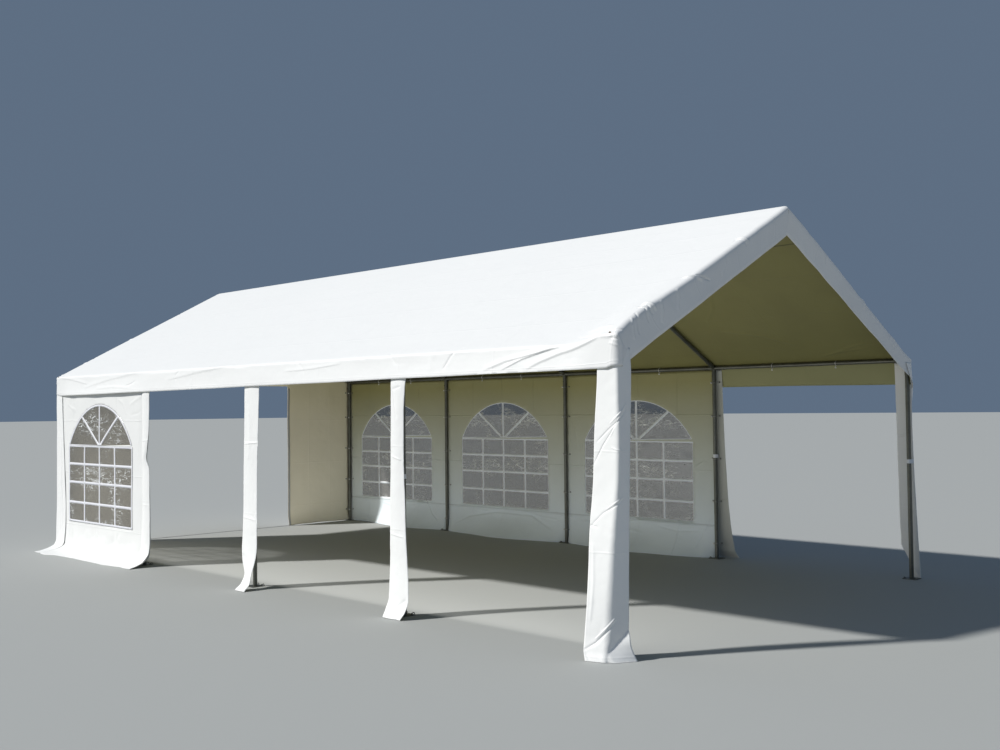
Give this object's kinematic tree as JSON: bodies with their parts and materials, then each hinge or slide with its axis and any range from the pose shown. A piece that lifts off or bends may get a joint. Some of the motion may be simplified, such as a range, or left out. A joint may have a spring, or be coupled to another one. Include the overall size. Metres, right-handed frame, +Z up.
{
  "type": "marquee tent",
  "caption": "White marquee tent with a steel tube frame, pitched roof cover, arched window walls on part of two sides, post sleeves and an open gable end.",
  "frame": {"origin": "on the ground, in the middle between the posts", "axes": "+X along the ridge towards the open gable end, +Y across the tent towards the side with the row of window walls, +Z up"},
  "size_m": [8.261, 4.6909, 3.033],
  "materials": {
    "galvanised_steel": "dull zinc grey",
    "roof_fabric": "white coated tent cloth, satin",
    "wall_fabric": "white coated tent cloth, satin",
    "clear_film": "clear creased window film"
  },
  "bodies": {
    "root": {"truss_1": "galvanised_steel", "post_front_1": "galvanised_steel", "post_back_1": "galvanised_steel", "truss_2": "galvanised_steel", "post_front_2": "galvanised_steel", "post_back_2": "galvanised_steel", "truss_3": "galvanised_steel", "post_front_3": "galvanised_steel", "post_back_3": "galvanised_steel", "truss_4": "galvanised_steel", "post_front_4": "galvanised_steel", "post_back_4": "galvanised_steel", "truss_5": "galvanised_steel", "post_front_5": "galvanised_steel", "post_back_5": "galvanised_steel", "eave_tube_front_1": "galvanised_steel", "eave_tube_back_1": "galvanised_steel", "ridge_tube_1": "galvanised_steel", "eave_tube_front_2": "galvanised_steel", "eave_tube_back_2": "galvanised_steel", "ridge_tube_2": "galvanised_steel", "eave_tube_front_3": "galvanised_steel", "eave_tube_back_3": "galvanised_steel", "ridge_tube_3": "galvanised_steel", "eave_tube_front_4": "galvanised_steel", "eave_tube_back_4": "galvanised_steel", "ridge_tube_4": "galvanised_steel", "roof_cover": "roof_fabric", "window_wall_front_1": "wall_fabric", "window_wall_back_1": "wall_fabric", "window_wall_back_2": "wall_fabric", "window_wall_back_3": "wall_fabric", "gable_wall": "wall_fabric", "gable_door_roll": "wall_fabric", "post_sleeve_front_2": "wall_fabric", "post_sleeve_front_3": "wall_fabric", "post_sleeve_front_4": "wall_fabric", "post_sleeve_back_2": "wall_fabric", "post_sleeve_back_3": "wall_fabric", "post_sleeve_back_4": "wall_fabric", "corner_sleeve_front_1": "wall_fabric", "corner_sleeve_front_5": "wall_fabric", "corner_sleeve_back_1": "wall_fabric", "corner_sleeve_back_5": "wall_fabric", "window_film_front_1": "clear_film", "window_film_back_1": "clear_film", "window_film_back_2": "clear_film", "window_film_back_3": "clear_film"}
  },
  "joints": []
}
